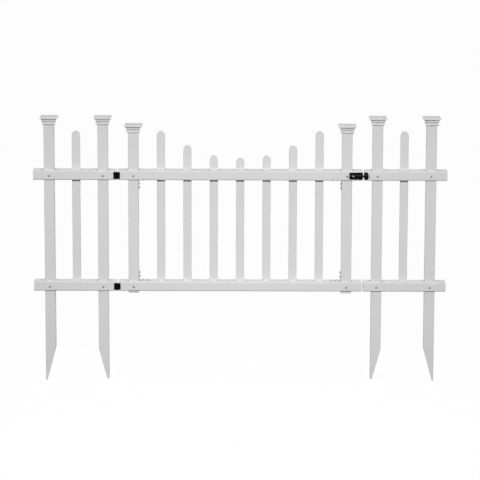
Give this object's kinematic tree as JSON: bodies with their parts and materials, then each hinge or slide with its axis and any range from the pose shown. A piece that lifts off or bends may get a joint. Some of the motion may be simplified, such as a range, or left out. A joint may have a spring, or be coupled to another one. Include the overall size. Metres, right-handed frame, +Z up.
{
  "type": "vinyl fence gate",
  "caption": "White vinyl picket gate with a scalloped top, hung on butt hinges between short fence wings on pointed stake posts and shut by a barrel bolt.",
  "frame": {"origin": "middle of the outer wall's end on the blunt tip of the hinge post's stake, the post beside the gate that carries the hinges", "axes": "+X along the fence from the hinge post to the latch post, +Z up, and the hinges and latch face -Y"},
  "size_m": [1.524, 0.0733, 0.9921],
  "materials": {
    "white_vinyl": "semi-gloss extruded vinyl",
    "moulded_vinyl": "semi-gloss moulded vinyl",
    "white_steel": "white paint, satin",
    "black_hardware": "black powder coat, satin"
  },
  "bodies": {
    "fence_wings": {"bottom_hinge_pin": "black_hardware", "bottom_hinge_wing_leaf": "black_hardware", "latch_keeper": "black_hardware", "left_inner_post": "white_vinyl", "left_inner_post_cap": "moulded_vinyl", "left_outer_post": "white_vinyl", "left_outer_post_cap": "moulded_vinyl", "left_wing_bottom_rail": "white_vinyl", "left_wing_picket": "white_vinyl", "left_wing_rail_end_caps": "moulded_vinyl", "left_wing_top_rail": "white_vinyl", "right_inner_post": "white_vinyl", "right_inner_post_cap": "moulded_vinyl", "right_outer_post": "white_vinyl", "right_outer_post_cap": "moulded_vinyl", "right_wing_bottom_rail": "white_vinyl", "right_wing_picket": "white_vinyl", "right_wing_rail_end_caps": "moulded_vinyl", "right_wing_top_rail": "white_vinyl", "top_hinge_pin": "black_hardware", "top_hinge_wing_leaf": "black_hardware"},
    "gate_leaf": {"bottom_hinge_gate_leaf": "black_hardware", "gate_bottom_rail": "white_vinyl", "gate_hinge_bottom_brace": "white_steel", "gate_hinge_stile": "white_vinyl", "gate_hinge_stile_cap": "moulded_vinyl", "gate_hinge_top_brace": "white_steel", "gate_latch_bottom_brace": "white_steel", "gate_latch_stile": "white_vinyl", "gate_latch_stile_cap": "moulded_vinyl", "gate_latch_top_brace": "white_steel", "gate_picket_1": "white_vinyl", "gate_picket_2": "white_vinyl", "gate_picket_3": "white_vinyl", "gate_picket_4": "white_vinyl", "gate_picket_5": "white_vinyl", "gate_picket_6": "white_vinyl", "gate_picket_7": "white_vinyl", "gate_rail_end_caps": "moulded_vinyl", "gate_top_rail": "white_vinyl", "latch_plate": "black_hardware", "top_hinge_gate_leaf": "black_hardware"},
    "latch_bolt": {"latch_bolt": "black_hardware"}
  },
  "joints": [
    {"name": "gate_swing", "type": "hinge", "parent": "fence_wings", "child": "gate_leaf", "pos_m": [0.03355, -0.0289, 0.5611], "axis": [0, 0, -1], "range_deg": [0, 175]},
    {"name": "bolt_slide", "type": "slide", "parent": "gate_leaf", "child": "latch_bolt", "axis": [-1, 0, 0], "range_m": [0, 0.021]}
  ]
}
